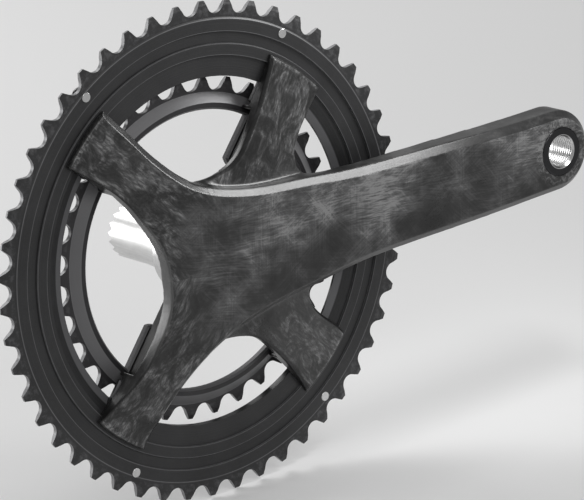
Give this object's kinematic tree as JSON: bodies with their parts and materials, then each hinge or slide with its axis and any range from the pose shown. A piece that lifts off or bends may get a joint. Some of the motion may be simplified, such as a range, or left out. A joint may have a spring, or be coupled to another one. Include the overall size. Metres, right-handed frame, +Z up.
{
  "type": "bicycle crankset",
  "caption": "Chain side of a two-ring road crankset: composite crank arm and spider, two chainrings, half axle with a toothed face joint and the bearing it turns in.",
  "frame": {"origin": "Centre of the axle bearing, on the axle's own axis.", "axes": "+X along the crank arm towards the pedal, +Y along the axle towards the middle of the bicycle so that the outside of the crank faces -Y, +Z up."},
  "size_m": [0.2923, 0.0762, 0.2052],
  "materials": {
    "composite": "marbled dark composite under satin lacquer",
    "ring_alloy": "matt charcoal anodised, turned grooves",
    "axle_steel": "bright satin",
    "bare_alloy": "plain machined",
    "insert_alloy": "plain machined",
    "bush_steel": "bare steel with a darkened flange",
    "bolt_steel": "black plated",
    "pin_steel": "bright",
    "spring_steel": "oiled spring steel",
    "bearing_steel": "ground",
    "ball_steel": "polished",
    "cage_plastic": "moulded",
    "seal_rubber": "matt"
  },
  "bodies": {
    "bearing_housing": {"bearing_outer_race": "bearing_steel", "bearing_outboard_seal": "seal_rubber", "bearing_inboard_seal": "seal_rubber"},
    "crank": {"crank_arm": "composite", "axle_sleeve": "bare_alloy", "half_axle": "axle_steel", "axle_clip": "spring_steel", "dust_ring": "seal_rubber", "pedal_bush": "bush_steel", "outer_chainring": "ring_alloy", "inner_chainring": "ring_alloy", "outer_ring_bolts": "bolt_steel", "inner_ring_bolts": "bolt_steel", "outer_ring_inserts": "insert_alloy", "inner_ring_inserts": "insert_alloy", "upshift_pins": "pin_steel", "chain_catch_pin": "pin_steel", "bearing_inner_race": "bearing_steel"},
    "ball_set": {"bearing_cage": "cage_plastic", "bearing_balls": "ball_steel"}
  },
  "joints": [
    {"name": "crank_spin", "type": "hinge", "parent": "bearing_housing", "child": "crank", "pos_m": [0, 0, 0], "axis": [0, 1, 0], "continuous": true},
    {"name": "ball_set_spin", "type": "hinge", "parent": "bearing_housing", "child": "ball_set", "pos_m": [0, 0, 0], "axis": [0, 1, 0], "continuous": true}
  ],
  "couplings": [
    {"joint": "ball_set_spin", "follows": "crank_spin", "ratio": 0.4435}
  ]
}
